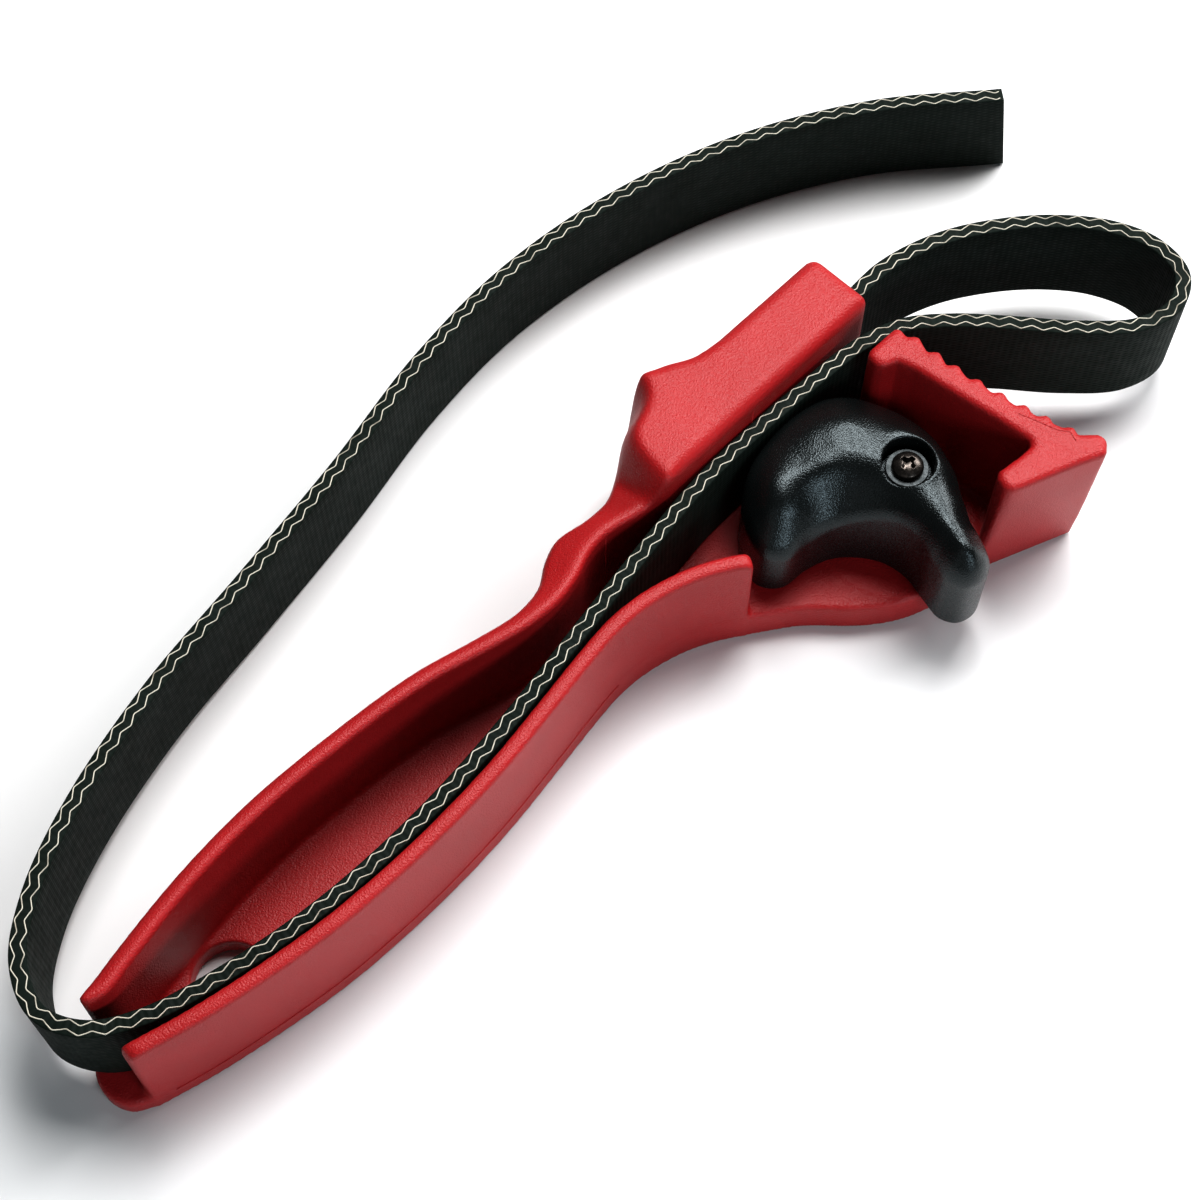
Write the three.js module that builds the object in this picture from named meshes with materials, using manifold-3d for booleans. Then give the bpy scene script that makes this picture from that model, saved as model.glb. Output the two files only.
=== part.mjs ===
// Adjustable belt wrench for oil filters: a moulded channel handle with a serrated jaw, a belt that is
// anchored in the handle's nose and runs back through a slot, and a cam lever that locks the belt.
// Millimetres, +Z up. The wrench lies on its flat underside at z = 0; the cam's pivot axis is x = y = 0,
// +X runs along the handle from its tail to its head.
import * as THREE from "three";
import { mergeVertices } from "three/addons/utils/BufferGeometryUtils.js";
import Module from "manifold-3d";

const wasm = await Module();
wasm.setup();

// ---- driving dimensions -------------------------------------------------------------------------------
const GAP = 0.3;                 // between pieces that touch
const HEAD_HEIGHT = 37;          // nose block and jaw
const WALL_HEIGHT = 30;          // channel walls
const WALL_THICK = 3.2;
const FLOOR_HEAD = 8;            // floor plate under the cam
const FLOOR_TAIL = 5;            // floor plate at the tail
const RAMP = { from: -150, to: -42 };   // the floor thickens between these two places
const SLOT_FACE_Y = 27.5;        // face of the nose block that the cam presses the belt against
const NOSE_END_X = 19.8;

const BELT_WIDTH = 22;
const BELT_THICK = 3.2;
const POCKET = { x: -7.5, y: 32.6, bottom: 8, top: 31, width: BELT_THICK + 2 * GAP };
const ANCHOR = { xs: [1, 11], z: 19.5, radius: 1.5, from: 29.4, to: 41.8 };

const CAM_BOTTOM = FLOOR_HEAD + 0.6;
// Height, and how far the cam's side is drawn in there.
const CAM_LEVELS = [
  [CAM_BOTTOM, 0.8], [CAM_BOTTOM + 0.8, 0], [27, 0], [29.4, 0.6], [31.1, 1.8], [32, 3.6],
];
const SLEEVE = { outer: 3.2, inner: 1.95, bottom: FLOOR_HEAD + GAP, top: 28.3 };
const CAM_BORE = SLEEVE.outer + GAP;
const COUNTERBORE = { radius: 5.4, floor: 27.9 };
const WASHER = { outer: 4.2, inner: 2.1, bottom: SLEEVE.top + GAP, thick: 1 };
const SCREW = { shank: 1.65, head: 3.05, headHeight: 2.1, bottom: 2 };
const PILOT = { radius: SCREW.shank + GAP, bottom: 1.6 };
const HANG_HOLE = { x: -152, y: 24.2, radius: 7.2 };
const TEETH = 8;

// ---- shape helpers ------------------------------------------------------------------------------------
const vectors = (points) => points.map(([x, y]) => new THREE.Vector2(x, y));

// Smooth curve through the points, with perSpan straight steps between neighbours.
function smooth(points, perSpan = 4) {
  return new THREE.SplineCurve(vectors(points)).getPoints((points.length - 1) * perSpan);
}

// Round arc from one angle to another, in degrees.
function arc(x, y, radius, from, to, steps = 5) {
  return Array.from({ length: steps + 1 }, (_, i) => {
    const angle = THREE.MathUtils.degToRad(from + ((to - from) * i) / steps);
    return new THREE.Vector2(x + radius * Math.cos(angle), y + radius * Math.sin(angle));
  });
}

// The same run of points moved sideways, positive to its left.
function offset(points, distance) {
  return points.map((p, i) => {
    const before = points[Math.max(i - 1, 0)];
    const after = points[Math.min(i + 1, points.length - 1)];
    const along = after.clone().sub(before).normalize();
    return new THREE.Vector2(p.x - along.y * distance, p.y + along.x * distance);
  });
}

function asSolid(geometry) {
  const bare = geometry.clone();
  bare.deleteAttribute("normal");
  bare.deleteAttribute("uv");
  const merged = mergeVertices(bare, 1e-5);
  const index = Array.from(merged.index.array);
  const kept = [];
  for (let i = 0; i < index.length; i += 3) {
    const [a, b, c] = index.slice(i, i + 3);
    if (a !== b && b !== c && c !== a) kept.push(a, b, c);
  }
  return new wasm.Manifold(new wasm.Mesh({
    numProp: 3,
    vertProperties: new Float32Array(merged.attributes.position.array),
    triVerts: new Uint32Array(kept),
  }));
}

function asGeometry(solid) {
  const mesh = solid.getMesh();
  const geometry = new THREE.BufferGeometry();
  geometry.setAttribute("position", new THREE.BufferAttribute(mesh.vertProperties, 3));
  geometry.setIndex(new THREE.BufferAttribute(mesh.triVerts, 1));
  geometry.computeVertexNormals();
  return geometry;
}

// Straight-sided solid over an outline, from z = bottom to z = top.
function prism(outline, bottom, top) {
  const geometry = new THREE.ExtrudeGeometry(new THREE.Shape(outline), {
    depth: top - bottom, bevelEnabled: false,
  });
  return asSolid(geometry.translate(0, 0, bottom));
}

function box(lowest, highest) {
  const size = highest.map((value, i) => value - lowest[i]);
  const geometry = new THREE.BoxGeometry(...size);
  return asSolid(geometry.translate(...highest.map((value, i) => (value + lowest[i]) / 2)));
}

function upright(x, y, radius, bottom, top, sides = 32) {
  const geometry = new THREE.CylinderGeometry(radius, radius, top - bottom, sides);
  return asSolid(geometry.rotateX(Math.PI / 2).translate(x, y, (top + bottom) / 2));
}

// Cylinder along Y, for the anchor pins and their holes.
function crosswise(x, z, radius, from, to, sides = 24) {
  const geometry = new THREE.CylinderGeometry(radius, radius, to - from, sides);
  return asSolid(geometry.translate(x, (from + to) / 2, z));
}

function tube(outer, inner, bottom, top) {
  return upright(0, 0, outer, bottom, top).subtract(upright(0, 0, inner, bottom - 1, top + 1));
}

// ---- handle outlines, all seen from above -------------------------------------------------------------
// Outer side of the left wall, from the tail to the shoulder where the nose block starts.
const leftSide = smooth([
  [-174.2, 31.0], [-164, 33.4], [-148, 36.3], [-131, 37.6], [-112, 36.9], [-94, 35.0], [-81, 31.9],
  [-72.5, 30.5], [-66, 31.6], [-61, 35.0], [-56, 36.9], [-49.5, 35.6], [-44, 36.0], [-38, 39.3],
  [-30, 44.6], [-24.2, 47.4], [-18.5, 45.9], [-13, 43.2], [-7, 42.3],
]);
// Channel side of the left wall, back from the nose block to the tail.
const leftChannelSide = smooth([
  [-36, SLOT_FACE_Y], [-42, 28.5], [-50, 30.0], [-55, 29.4], [-60, 27.6], [-66, 26.5], [-73, 26.9],
  [-81, 28.6], [-94, 31.8], [-112, 33.7], [-131, 34.4], [-148, 33.1], [-164, 30.2], [-171, 28.9], [-174.2, 29.7],
]);
// Outer side of the right wall, from the tail to where the wall ends beside the cam.
const rightSide = smooth([
  [-175.5, 17.4], [-164, 14.3], [-150, 11.6], [-137, 9.8], [-124, 9.1], [-110, 9.2], [-95, 10.3],
  [-80, 12.4], [-70, 13.9], [-61.5, 14.8], [-54, 14.3], [-46, 12.2], [-40, 9.4], [-34.2, 5.6],
]);
// Edge of the floor plate from the end of the right wall to the foot of the jaw.
const plateEdge = smooth([
  [-34.2, 5.6], [-26, -0.3], [-18.5, -8], [-11.5, -13.0], [-4, -15.8], [5, -17.4],
]);
const tailLip = smooth([[-174.2, 31.0], [-179.8, 29.0], [-181.2, 24.2], [-179.6, 19.9], [-175.5, 17.4]]);
const noseEnd = [
  ...arc(NOSE_END_X - 2.4, 39.9, 2.4, 90, 0),
  ...arc(NOSE_END_X - 1.8, SLOT_FACE_Y + 1.8, 1.8, 0, -90),
];

// Tips of the jaw's teeth lie on this hollow curve, which suits a round filter.
const jawFace = new THREE.QuadraticBezierCurve(...vectors([[19.8, 15.4], [20.0, -1.2], [24.9, -18.2]]));

// Serrated outer face of the jaw: each tooth rises over a short ramp and falls back over a longer one.
function serrations() {
  const points = [];
  for (let i = 0; i < TEETH; i += 1) {
    const peak = jawFace.getPointAt(i / (TEETH - 1));
    points.push(
      new THREE.Vector2(peak.x - 1.5, peak.y + 1.5),
      new THREE.Vector2(peak.x - 0.3, peak.y + 0.5),
      new THREE.Vector2(peak.x, peak.y - 0.4),
      new THREE.Vector2(peak.x - 0.6, peak.y - 1.7),
    );
  }
  return points;
}
const jawOuter = [
  ...arc(17.2, 18.3, 1.6, 90, 20, 4),
  ...serrations(),
  ...arc(25.2, -23.6, 2.0, 40, -60, 5),
];
const jawFoot = vectors([
  [24.2, -26.8], [18.9, -24.3], [12.2, -21.8], [7.4, -20.1], [6.2, -19.2], [5.7, -17.6], [6.4, -15.4],
  [7.8, -14.4], [13, -15.1], [16.0, -15.2],
]);
const jawInner = vectors([
  [16.9, -14.2], [16.2, -7.4], [14.9, 1.4], [13.6, 11.0], [12.6, 14.4], [9.9, 15.6], [9.2, 17.0],
  [9.6, 19.2], [11.0, 20.0],
]);

function handleBody() {
  const noseOutline = [
    ...vectors([[-35.8, SLOT_FACE_Y], [-36.6, 29.0], [-36.4, 37.2]]),
    ...vectors([[-32.0, 39.3], [-28.2, 40.8], [-25.4, 43.2], [-24.2, 47.4]]),
    ...leftSide.slice(-12), ...noseEnd,
  ];
  const footprint = [
    ...leftSide, ...noseEnd, ...jawOuter, ...jawFoot.slice(0, 5), ...plateEdge.slice().reverse(),
    ...rightSide.slice(0, -1).reverse(), ...tailLip.slice(1, -1).reverse(),
  ];
  const rampProfile = new THREE.Shape(vectors([
    [-190, -1], [40, -1], [40, FLOOR_HEAD], [RAMP.to, FLOOR_HEAD], [RAMP.from, FLOOR_TAIL],
    [-190, FLOOR_TAIL],
  ]));
  const ramp = new THREE.ExtrudeGeometry(rampProfile, { depth: 120, bevelEnabled: false });
  const floor = prism(footprint, 0, FLOOR_HEAD).intersect(
    asSolid(ramp.rotateX(Math.PI / 2).translate(0, 80, 0)),
  );
  const leftWall = prism([
    ...leftSide, ...vectors([[-7, SLOT_FACE_Y]]), ...leftChannelSide,
  ], 1, WALL_HEIGHT);
  const rightWall = prism([
    ...rightSide, ...offset(rightSide, WALL_THICK).reverse(),
  ], 1, WALL_HEIGHT);
  const nose = prism(noseOutline, 1, HEAD_HEIGHT);
  const jaw = prism([...jawOuter, ...jawFoot, ...jawInner], 1, HEAD_HEIGHT);
  const half = POCKET.width / 2;
  const pocket = box(
    [POCKET.x, POCKET.y - half, POCKET.bottom], [NOSE_END_X + 5, POCKET.y + half, POCKET.top],
  );
  const anchorHoles = ANCHOR.xs.map((x) => (
    crosswise(x, ANCHOR.z, ANCHOR.radius + GAP, ANCHOR.from - GAP, 50)
  ));
  return [
    pocket, ...anchorHoles,
    upright(HANG_HOLE.x, HANG_HOLE.y, HANG_HOLE.radius, -1, FLOOR_HEAD + 1, 40),
    upright(0, 0, PILOT.radius, PILOT.bottom, FLOOR_HEAD + 1, 24),
  ].reduce((body, cut) => body.subtract(cut), floor.add(leftWall).add(rightWall).add(nose).add(jaw));
}

// ---- cam lever ----------------------------------------------------------------------------------------
const camOutline = new THREE.CatmullRomCurve3([
  [-29.3, 9.6], [-27.8, 14.8], [-24.4, 19.1], [-19.2, 22.2], [-12.5, 23.4], [-5.5, 23.4], [1, 21.9],
  [5.4, 18.6], [8.4, 13.6], [10.7, 7.4], [11.1, 1.2], [9.1, -4.4], [5.2, -10.6], [2.2, -15.2],
  [0.4, -19.6], [-1.7, -22.9], [-5.2, -24.2], [-8.6, -23.1], [-10.2, -20.0], [-9.4, -15.4],
  [-8.1, -10.0], [-8.6, -5.0], [-11.2, -0.4], [-15.2, 3.2], [-20.4, 5.0], [-26.4, 5.8],
].map(([x, y]) => new THREE.Vector3(x, y, 0)), true, "centripetal").getPoints(78).slice(0, -1);

// Closed solid whose sides are drawn in from the outline by a different amount at each height.
function layered(outline, levels) {
  const count = outline.length;
  const rings = levels.map(([z, inset]) => outline.map((p, i) => {
    const before = outline[(i + count - 1) % count];
    const after = outline[(i + 1) % count];
    const along = after.clone().sub(before).normalize();
    return new THREE.Vector3(p.x - along.y * inset, p.y + along.x * inset, z);
  }));
  const index = [];
  for (let level = 0; level < rings.length - 1; level += 1) {
    for (let i = 0; i < count; i += 1) {
      const a = level * count + i;
      const b = level * count + ((i + 1) % count);
      index.push(a, b, a + count, b, b + count, a + count);
    }
  }
  const lid = (ring) => THREE.ShapeUtils.triangulateShape(ring, []);
  const top = (rings.length - 1) * count;
  lid(rings[0]).forEach(([a, b, c]) => index.push(a, c, b));
  lid(rings[rings.length - 1]).forEach(([a, b, c]) => index.push(top + a, top + b, top + c));
  const geometry = new THREE.BufferGeometry().setFromPoints(rings.flat());
  geometry.setIndex(index);
  return asSolid(geometry);
}

function camLever() {
  const counterClockwise = camOutline.slice().reverse();
  return layered(counterClockwise, CAM_LEVELS)
    .subtract(upright(0, 0, CAM_BORE, 0, 50))
    .subtract(upright(0, 0, COUNTERBORE.radius, COUNTERBORE.floor, 50, 40));
}

// ---- screw and anchor pins ----------------------------------------------------------------------------
function pivotScrew() {
  const underHead = WASHER.bottom + WASHER.thick + GAP;
  const top = underHead + SCREW.headHeight;
  const profile = vectors([
    [0, SCREW.bottom], [0.5, SCREW.bottom], [SCREW.shank, SCREW.bottom + 2], [SCREW.shank, underHead],
    [SCREW.head, underHead], [SCREW.head, underHead + 0.7], [SCREW.head - 0.35, top - 0.5],
    [SCREW.head - 1.0, top], [0, top],
  ]);
  const blank = asSolid(new THREE.LatheGeometry(profile, 32).rotateX(Math.PI / 2));
  const arm = 1.6;
  const halfWidth = 0.42;
  const floorOfRecess = top - 1.4;
  const cross = box([-arm, -halfWidth, floorOfRecess], [arm, halfWidth, top + 1])
    .add(box([-halfWidth, -arm, floorOfRecess], [halfWidth, arm, top + 1]));
  return blank.subtract(cross);
}

function anchorPin(x) {
  return crosswise(x, ANCHOR.z, ANCHOR.radius, ANCHOR.from, ANCHOR.to);
}

// ---- belt ---------------------------------------------------------------------------------------------
// Middle of the belt's thickness and its lower edge, from the anchored end, round the loop, through the
// slot and the channel, round the tail and along the bench to the free end.
const BELT_ROUTE = [
  [-6, 32.6, 8.5], [19, 32.6, 8.5], [31, 32.8, 8.4], [44, 29.4, 8.0], [55, 23.2, 7.6], [64, 15.6, 7.3],
  [70.4, 7.2, 7.1], [73.2, -1.5, 7.0], [71.3, -9.4, 7.0], [64.5, -12.9, 7.0], [56, -10.8, 7.2],
  [47, -3, 7.6], [38, 7.3, 8.1], [30.5, 15.3, 8.5], [23.2, 21.2, 8.5], [14, 24.2, 8.5],
  [1, 25.2, 8.5], [-14, 25.6, 8.5], [-28, 25.3, 8.5], [-46, 23.1, 8.3], [-66, 20.1, 7.7],
  [-90, 16.5, 7.1], [-112, 14.7, 6.5], [-134, 15.2, 5.9], [-154, 18.3, 5.5], [-169, 22.6, 5.4],
  [-177.4, 28.2, 5.3], [-180.9, 36, 5.1], [-177.6, 45.3, 4.8], [-168, 53.8, 4.1], [-152, 61.8, 3.1],
  [-128, 69.4, 1.7], [-100, 74.7, 0.7], [-72, 80, 0.3], [-44, 86.3, 0.3], [-18, 88.8, 0.3],
  [10, 86.1, 0.3], [38, 77.9, 0.3], [64, 64.2, 0.3], [85.2, 46.9, 0.3],
];
const BELT_STEPS = 2;

function beltStrip() {
  const curve = new THREE.CatmullRomCurve3(
    BELT_ROUTE.map(([x, y, z]) => new THREE.Vector3(x, y, z)), false, "centripetal",
  );
  const spans = BELT_ROUTE.length - 1;
  const count = spans * BELT_STEPS + 1;
  const position = [];
  for (let i = 0; i < count; i += 1) {
    const t = i / (count - 1);
    const point = curve.getPoint(t);
    const along = curve.getTangent(t);
    const side = new THREE.Vector3(-along.y, along.x, 0).setLength(BELT_THICK / 2);
    for (const [across, up] of [[-1, 0], [1, 0], [1, BELT_WIDTH], [-1, BELT_WIDTH]]) {
      position.push(point.x + across * side.x, point.y + across * side.y, point.z + up);
    }
  }
  const index = [0, 2, 1, 0, 3, 2];
  for (let i = 0; i < count - 1; i += 1) {
    for (let corner = 0; corner < 4; corner += 1) {
      const a = 4 * i + corner;
      const b = 4 * i + ((corner + 1) % 4);
      index.push(a, b, a + 4, b, b + 4, a + 4);
    }
  }
  const end = 4 * (count - 1);
  index.push(end, end + 1, end + 2, end, end + 2, end + 3);
  const strip = new THREE.BufferGeometry();
  strip.setAttribute("position", new THREE.Float32BufferAttribute(position, 3));
  strip.setIndex(index);
  return ANCHOR.xs.reduce((belt, x) => (
    belt.subtract(crosswise(x, ANCHOR.z, ANCHOR.radius + GAP, 20, 45))
  ), asSolid(strip));
}

// ---- assembly -----------------------------------------------------------------------------------------
const finish = (color, roughness, metalness) => (
  new THREE.MeshStandardMaterial({ color, roughness, metalness })
);

const wrench = new THREE.Group();
function addPart(name, solid, material) {
  const mesh = new THREE.Mesh(asGeometry(solid), material);
  mesh.name = name;
  wrench.add(mesh);
}

addPart("handle_body", handleBody(), finish(0xb5252f, 0.5, 0));
addPart("cam_lever", camLever(), finish(0x14191b, 0.42, 0));
addPart("pivot_sleeve", tube(SLEEVE.outer, SLEEVE.inner, SLEEVE.bottom, SLEEVE.top), finish(0x9a9c9e, 0.35, 1));
addPart(
  "pivot_washer",
  tube(WASHER.outer, WASHER.inner, WASHER.bottom, WASHER.bottom + WASHER.thick),
  finish(0x8d9496, 0.35, 1),
);
addPart("pivot_screw", pivotScrew(), finish(0x26211f, 0.35, 0.9));
ANCHOR.xs.forEach((x, i) => addPart(`belt_anchor_pin_${i + 1}`, anchorPin(x), finish(0x9a9c9e, 0.35, 1)));
addPart("belt", beltStrip(), finish(0x161a18, 0.75, 0));

export default wrench;
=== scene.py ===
"""Looks of the adjustable belt wrench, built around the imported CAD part.

Lengths in the making of each shape are millimetres in the part's frame: +X along the handle towards the
head, +Y towards the nose block, +Z up, with the cam's pivot at x = y = 0 and the bench at z = 0.
"""
import math

import bmesh
import bpy
import numpy as np
import openvdb
from mathutils import Matrix, Vector


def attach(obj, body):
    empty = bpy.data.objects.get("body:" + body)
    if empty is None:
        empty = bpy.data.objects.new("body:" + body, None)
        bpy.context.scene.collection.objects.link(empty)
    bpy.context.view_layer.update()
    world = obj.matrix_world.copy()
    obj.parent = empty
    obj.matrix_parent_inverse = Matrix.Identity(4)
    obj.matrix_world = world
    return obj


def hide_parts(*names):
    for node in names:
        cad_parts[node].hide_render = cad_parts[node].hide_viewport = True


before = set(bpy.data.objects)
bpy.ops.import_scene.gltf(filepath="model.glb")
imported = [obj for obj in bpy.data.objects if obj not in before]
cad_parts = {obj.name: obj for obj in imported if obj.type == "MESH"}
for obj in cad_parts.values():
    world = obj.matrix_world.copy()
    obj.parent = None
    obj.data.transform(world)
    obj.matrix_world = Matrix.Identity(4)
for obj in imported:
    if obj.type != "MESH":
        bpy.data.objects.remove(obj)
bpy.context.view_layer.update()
MM = 0.001

# ---- driving dimensions -------------------------------------------------------------------------------
HEAD_HEIGHT = 37.0
WALL_HEIGHT = 30.0
WALL_THICK = 3.3
FLOOR_HEAD, FLOOR_TAIL = 8.0, 5.0
RAMP_FROM, RAMP_TO = -150.0, -42.0
SLOT_FACE_Y = 27.5
NOSE_END_X = 19.8
HANG_HOLE = (-152.0, 24.2, 7.2)
PIN_XS, PIN_Z, PIN_RADIUS = (1.0, 11.0), 19.5, 1.5
PIN_FROM, PIN_TO = 29.4, 41.8
SCREW_HOLE_RADIUS, SCREW_HOLE_BOTTOM = 1.95, 1.6
SLEEVE_RADIUS = 3.2
POCKET_Y, POCKET_FLOOR_Z, POCKET_END_X = 32.6, 8.5, -7.5
POCKET_PLAY, POCKET_HEADROOM = 0.3, 0.5
PIN_HOLE_PLAY, SLEEVE_PLAY = 0.3, 0.3

BELT_WIDTH, BELT_THICK, BELT_EDGE = 22.0, 3.2, 0.32
BELT_STATION, PLY_STATION = 0.9, 0.36
PLY_OFFSET, PLY_WAVE, PLY_PITCH, PLY_RADIUS = 0.85, 0.36, 4.3, 0.12
PLY_BOTTOM_RISE = 0.2 * PLY_RADIUS
FREE_END_SLANT, SLANT_LENGTH = 3.2, 12
WEAVE_PITCH, WEAVE_RISE = 1.3, 0.9


# ---- camera -------------------------------------------------------------------------------------------
CAMERA_LENS, CAMERA_DISTANCE = 70.5, 460.8
CAMERA_TARGET = (-49.4, 32.1, 0)
CAMERA_FORWARD, CAMERA_RIGHT = (0.3196, 0.3136, -0.8942), (0.7004, -0.7138, 0)


def camera():
    """The photograph's angle: from over the tail on the jaw's side, looking down steeply."""
    data = bpy.data.cameras.new("camera")
    data.lens = CAMERA_LENS
    data.sensor_width = 36
    data.clip_start, data.clip_end = 0.01, 20
    cam = bpy.data.objects.new("camera", data)
    forward, right = Vector(CAMERA_FORWARD).normalized(), Vector(CAMERA_RIGHT).normalized()
    up = right.cross(forward)
    cam.location = Vector(CAMERA_TARGET) * MM - forward * CAMERA_DISTANCE * MM
    cam.rotation_mode = "QUATERNION"
    cam.rotation_quaternion = rotation_from(right, up, -forward)
    bpy.context.collection.objects.link(cam)
    bpy.context.scene.camera = cam


def rotation_from(x_axis, y_axis, z_axis):
    return Matrix((x_axis, y_axis, z_axis)).transposed().to_quaternion()


camera()


# ---- curves -------------------------------------------------------------------------------------------
def smooth_path(points, per_span):
    """Centripetal curve through the points, with per_span steps between neighbours."""
    p = np.array(points, float)
    p = np.vstack([2 * p[0] - p[1], p, 2 * p[-1] - p[-2]])
    out = []
    for i in range(1, len(p) - 2):
        a, b, c, d = p[i - 1:i + 3]
        ab, bc, cd = (max(np.linalg.norm(v), 1e-6) ** 0.5 for v in (b - a, c - b, d - c))
        start = ((b - a) / ab - (c - a) / (ab + bc) + (c - b) / bc) * bc
        end = ((c - b) / bc - (d - b) / (bc + cd) + (d - c) / cd) * bc
        t = np.linspace(0, 1, per_span, endpoint=False)[:, None]
        out.append(
            b * (2 * t**3 - 3 * t**2 + 1) + start * (t**3 - 2 * t**2 + t)
            + c * (3 * t**2 - 2 * t**3) + end * (t**3 - t**2)
        )
    return np.vstack([*out, p[-2:-1]])


def evenly(path, step):
    """The same path with its points a fixed step apart, and the distance along it at each."""
    along = np.concatenate([[0], np.cumsum(np.linalg.norm(np.diff(path, axis=0), axis=1))])
    count = int(round(along[-1] / step)) + 1
    s = np.linspace(0, along[-1], count)
    return np.column_stack([np.interp(s, along, path[:, i]) for i in range(path.shape[1])]), s


def arc(x, y, radius, start, end, steps=6):
    """Points of a round arc from one angle to another, in degrees."""
    angles = np.radians(np.linspace(start, end, steps + 1))
    return [(x + radius * math.cos(a), y + radius * math.sin(a)) for a in angles]


# ---- mesh helpers -------------------------------------------------------------------------------------
def add_mesh(name, vertices, faces):
    """A smooth-shaded object from vertices in mm."""
    mesh = bpy.data.meshes.new(name)
    mesh.from_pydata((np.asarray(vertices) * MM).tolist(), [], [tuple(f) for f in faces])
    mesh.validate()
    made = bmesh.new()
    made.from_mesh(mesh)
    if made.calc_volume(signed=True) < 0:
        bmesh.ops.reverse_faces(made, faces=made.faces)
    made.to_mesh(mesh)
    made.free()
    mesh.shade_smooth()
    obj = bpy.data.objects.new(name, mesh)
    bpy.context.collection.objects.link(obj)
    return obj


def swept(sections):
    """Vertices and faces of a skin over rings of equal length, with flat ends."""
    rings = np.asarray(sections)
    count, sides = rings.shape[:2]
    faces = []
    for i in range(count - 1):
        for j in range(sides):
            k = (j + 1) % sides
            faces.append((i * sides + j, i * sides + k, (i + 1) * sides + k, (i + 1) * sides + j))
    faces.append(tuple(range(sides))[::-1])
    faces.append(tuple((count - 1) * sides + j for j in range(sides)))
    return rings.reshape(-1, 3), faces


def turned(profile, sides=64):
    """Vertices and faces of a closed (radius, height) profile turned about Z."""
    profile = np.asarray(profile, float)
    angles = 2 * np.pi * np.arange(sides) / sides
    ring = np.stack([np.cos(angles), np.sin(angles)], axis=1)
    vertices = [(r * c, r * s, z) for r, z in profile for c, s in ring]
    count = len(profile)
    faces = []
    for i in range(count):
        k = (i + 1) % count
        for j in range(sides):
            m = (j + 1) % sides
            faces.append((i * sides + j, i * sides + m, k * sides + m, k * sides + j))
    return vertices, faces


def sharp_above(obj, degrees):
    """Edges that turn more than this many degrees stay crisp."""
    made = bmesh.new()
    made.from_mesh(obj.data)
    for edge in made.edges:
        edge.smooth = not (edge.is_manifold and edge.calc_face_angle(0) > math.radians(degrees))
    made.to_mesh(obj.data)
    made.free()


# ---- belt ---------------------------------------------------------------------------------------------
# Middle of the belt's thickness and its lower edge, from the anchored end, round the loop, through the
# slot and the channel, round the tail and along the bench to the free end.
BELT_ROUTE = [
    (-6, 32.6, 8.5), (19, 32.6, 8.5), (31, 32.8, 8.4), (44, 29.4, 8.0), (55, 23.2, 7.6), (64, 15.6, 7.3),
    (70.4, 7.2, 7.1), (73.2, -1.5, 7.0), (71.3, -9.4, 7.0), (64.5, -12.9, 7.0), (56, -10.8, 7.2),
    (47, -3, 7.6), (38, 7.3, 8.1), (30.5, 15.3, 8.5), (23.2, 21.2, 8.5), (14, 24.2, 8.5),
    (1, 25.2, 8.5), (-14, 25.6, 8.5), (-28, 25.3, 8.5), (-46, 23.1, 8.3), (-66, 20.1, 7.7),
    (-90, 16.5, 7.1), (-112, 14.7, 6.5), (-134, 15.2, 5.9), (-154, 18.3, 5.5), (-169, 22.6, 5.4),
    (-177.4, 28.2, 5.3), (-180.9, 36, 5.1), (-177.6, 45.3, 4.8), (-168, 53.8, 4.1), (-152, 61.8, 3.1),
    (-128, 69.4, 1.7), (-100, 74.7, 0.7), (-72, 80, 0.3), (-44, 86.3, 0.3), (-18, 88.8, 0.3),
    (10, 86.1, 0.3), (38, 77.9, 0.3), (64, 64.2, 0.3), (85.2, 46.9, 0.3),
]


def belt_frames(step):
    """Points along the belt's lower middle line, the sideways direction at each, and the distance."""
    points, s = evenly(smooth_path(BELT_ROUTE, 24), step)
    along = np.gradient(points, axis=0)
    side = np.column_stack([-along[:, 1], along[:, 0], np.zeros(len(along))])
    side /= np.linalg.norm(side, axis=1)[:, None]
    return points, side, s


def belt_section():
    """Rounded rectangle as (across, up), standing on its lower edge."""
    w, h, r = BELT_THICK / 2, BELT_WIDTH, BELT_EDGE
    lower, upper = arc(w - r, r, r, -90, 0, 3), arc(w - r, h - r, r, 0, 90, 3)
    right = lower + [(w, h * k / 6) for k in range(1, 6)] + upper
    left = [(-x, z) for x, z in right[::-1]]
    return np.array(right + left)


def belt_strip():
    points, side, s = belt_frames(BELT_STATION)
    section = belt_section()
    up = np.array([0, 0, 1.0])
    rings = points[:, None] + section[None, :, :1] * side[:, None] + section[None, :, 1:] * up
    last = points[-1] - points[-2]
    near_end = np.clip((s - s[-1] + SLANT_LENGTH) / SLANT_LENGTH, 0, 1)[:, None]
    slant = FREE_END_SLANT * near_end * (1 - section[None, :, 1] / BELT_WIDTH)
    rings = rings + slant[:, :, None] * last / np.linalg.norm(last)
    vertices, faces = swept(rings)
    obj = add_mesh("belt_strip", vertices, faces)
    uv = obj.data.uv_layers.new(name="along_and_up")
    sides = len(section)
    for loop in obj.data.loops:
        station, corner = divmod(loop.vertex_index, sides)
        uv.data[loop.index].uv = (s[station] * MM, section[corner, 1] * MM)
    return obj, points, s[-1]


def bead(name, middle, radius):
    """A thin round strand along a path."""
    along = np.gradient(middle, axis=0)
    along /= np.linalg.norm(along, axis=1)[:, None]
    out = np.cross(along, [0, 0, 1.0])
    out /= np.linalg.norm(out, axis=1)[:, None]
    angles = 2 * np.pi * np.arange(6) / 6
    rings = (
        middle[:, None] + radius * np.cos(angles)[None, :, None] * out[:, None]
        + radius * np.sin(angles)[None, :, None] * np.array([0, 0, 1.0])
    )
    return add_mesh(name, *swept(rings))


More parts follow.
